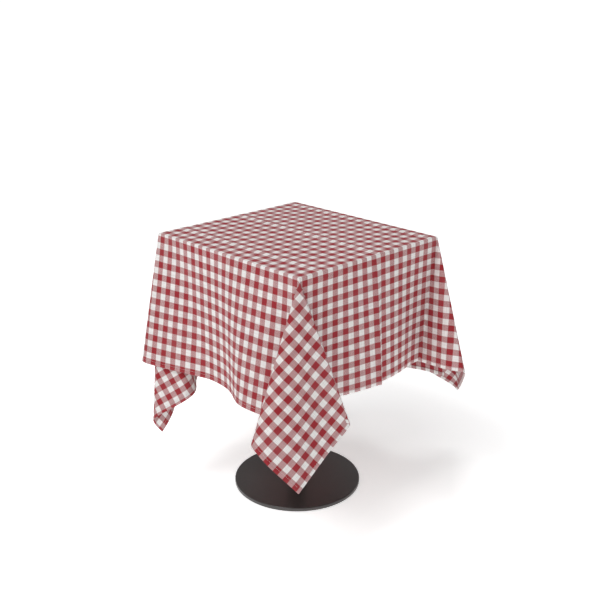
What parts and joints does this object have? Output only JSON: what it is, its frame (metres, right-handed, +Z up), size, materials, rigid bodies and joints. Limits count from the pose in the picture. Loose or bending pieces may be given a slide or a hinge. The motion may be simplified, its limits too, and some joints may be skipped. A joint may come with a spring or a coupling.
{
  "type": "tablecloth on a pedestal table",
  "caption": "Square gingham tablecloth draped over a small pedestal table with a round flat base; the cloth lifts off and the feet level.",
  "frame": {"origin": "on the floor, under the middle of the table top and of the round base", "axes": "+Z up; X and Y along the table's sides; the corner with the broad flat flute is at -X, -Y"},
  "size_m": [0.8713, 0.8825, 0.7645],
  "materials": {
    "black_steel": "satin",
    "cast_iron": "matte",
    "zinc_steel": "satin",
    "rubber": "matte",
    "foot_plastic": "matte",
    "particle_board": "matte",
    "laminate": "satin",
    "edge_plastic": "matte",
    "gingham_cotton": "matte"
  },
  "bodies": {
    "table": {"base_cover": "black_steel", "base_weight": "cast_iron", "column_tube": "black_steel", "lower_plug": "zinc_steel", "upper_plug": "zinc_steel", "tie_rod": "zinc_steel", "top_washer": "zinc_steel", "top_nut": "zinc_steel", "spider_bar_x": "black_steel", "spider_bar_y": "black_steel", "bar_spacers": "rubber", "top_screws": "zinc_steel", "top_core": "particle_board", "top_laminate": "laminate", "top_backer": "laminate", "edge_band": "edge_plastic"},
    "cloth": {"tablecloth": "gingham_cotton", "hem_left": "gingham_cotton", "hem_right": "gingham_cotton", "hem_front": "gingham_cotton", "hem_back": "gingham_cotton"},
    "pad_1": {"foot_pad_1": "foot_plastic"},
    "stud_1": {"foot_stud_1": "zinc_steel"},
    "pad_2": {"foot_pad_2": "foot_plastic"},
    "stud_2": {"foot_stud_2": "zinc_steel"},
    "pad_3": {"foot_pad_3": "foot_plastic"},
    "stud_3": {"foot_stud_3": "zinc_steel"},
    "pad_4": {"foot_pad_4": "foot_plastic"},
    "stud_4": {"foot_stud_4": "zinc_steel"}
  },
  "joints": [
    {"name": "cloth_lift", "type": "slide", "parent": "table", "child": "cloth", "axis": [0, 0, 1], "range_m": [0, 0.65]},
    {"name": "foot_1_height", "type": "slide", "parent": "table", "child": "pad_1", "axis": [0, 0, -1], "range_m": [0, 0.00124]},
    {"name": "foot_1_screw", "type": "hinge", "parent": "pad_1", "child": "stud_1", "pos_m": [0.10607, 0.10607, 0.005], "axis": [0, 0, -1], "range_deg": [0, 359]},
    {"name": "foot_2_height", "type": "slide", "parent": "table", "child": "pad_2", "axis": [0, 0, -1], "range_m": [0, 0.00124]},
    {"name": "foot_2_screw", "type": "hinge", "parent": "pad_2", "child": "stud_2", "pos_m": [-0.10607, 0.10607, 0.005], "axis": [0, 0, -1], "range_deg": [0, 359]},
    {"name": "foot_3_height", "type": "slide", "parent": "table", "child": "pad_3", "axis": [0, 0, -1], "range_m": [0, 0.00124]},
    {"name": "foot_3_screw", "type": "hinge", "parent": "pad_3", "child": "stud_3", "pos_m": [-0.10607, -0.10607, 0.005], "axis": [0, 0, -1], "range_deg": [0, 359]},
    {"name": "foot_4_height", "type": "slide", "parent": "table", "child": "pad_4", "axis": [0, 0, -1], "range_m": [0, 0.00124]},
    {"name": "foot_4_screw", "type": "hinge", "parent": "pad_4", "child": "stud_4", "pos_m": [0.10607, -0.10607, 0.005], "axis": [0, 0, -1], "range_deg": [0, 359]}
  ],
  "couplings": [
    {"joint": "foot_1_screw", "follows": "foot_1_height", "rad_per_m": 5026.5},
    {"joint": "foot_2_screw", "follows": "foot_2_height", "rad_per_m": 5026.5},
    {"joint": "foot_3_screw", "follows": "foot_3_height", "rad_per_m": 5026.5},
    {"joint": "foot_4_screw", "follows": "foot_4_height", "rad_per_m": 5026.5}
  ]
}
